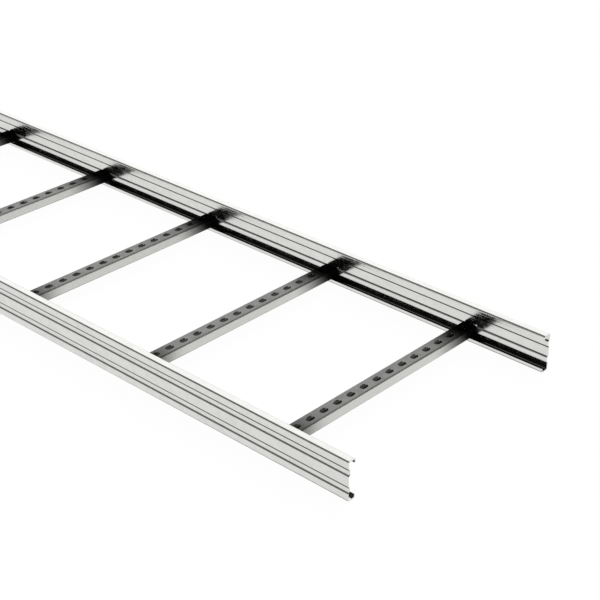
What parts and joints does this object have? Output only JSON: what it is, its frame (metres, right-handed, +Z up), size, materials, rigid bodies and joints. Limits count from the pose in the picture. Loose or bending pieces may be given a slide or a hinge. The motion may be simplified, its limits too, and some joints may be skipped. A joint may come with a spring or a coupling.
{
  "type": "cable ladder section",
  "caption": "Straight section of steel cable ladder: two grooved channel side rails joined by evenly spaced slotted rungs.",
  "frame": {"origin": "middle of the ladder's plan, on the level that the rails stand on", "axes": "+X along the rails, +Y across the ladder from the left rail to the right rail, +Z up"},
  "size_m": [3, 0.396, 0.055],
  "materials": {
    "rail_steel": "bright galvanised strip, satin",
    "rung_steel": "bright galvanised strip, satin"
  },
  "bodies": {
    "root": {"rail_left": "rail_steel", "rail_right": "rail_steel", "rung_01": "rung_steel", "rung_02": "rung_steel", "rung_03": "rung_steel", "rung_04": "rung_steel", "rung_05": "rung_steel", "rung_06": "rung_steel", "rung_07": "rung_steel", "rung_08": "rung_steel", "rung_09": "rung_steel", "rung_10": "rung_steel", "rung_11": "rung_steel", "rung_12": "rung_steel"}
  },
  "joints": []
}
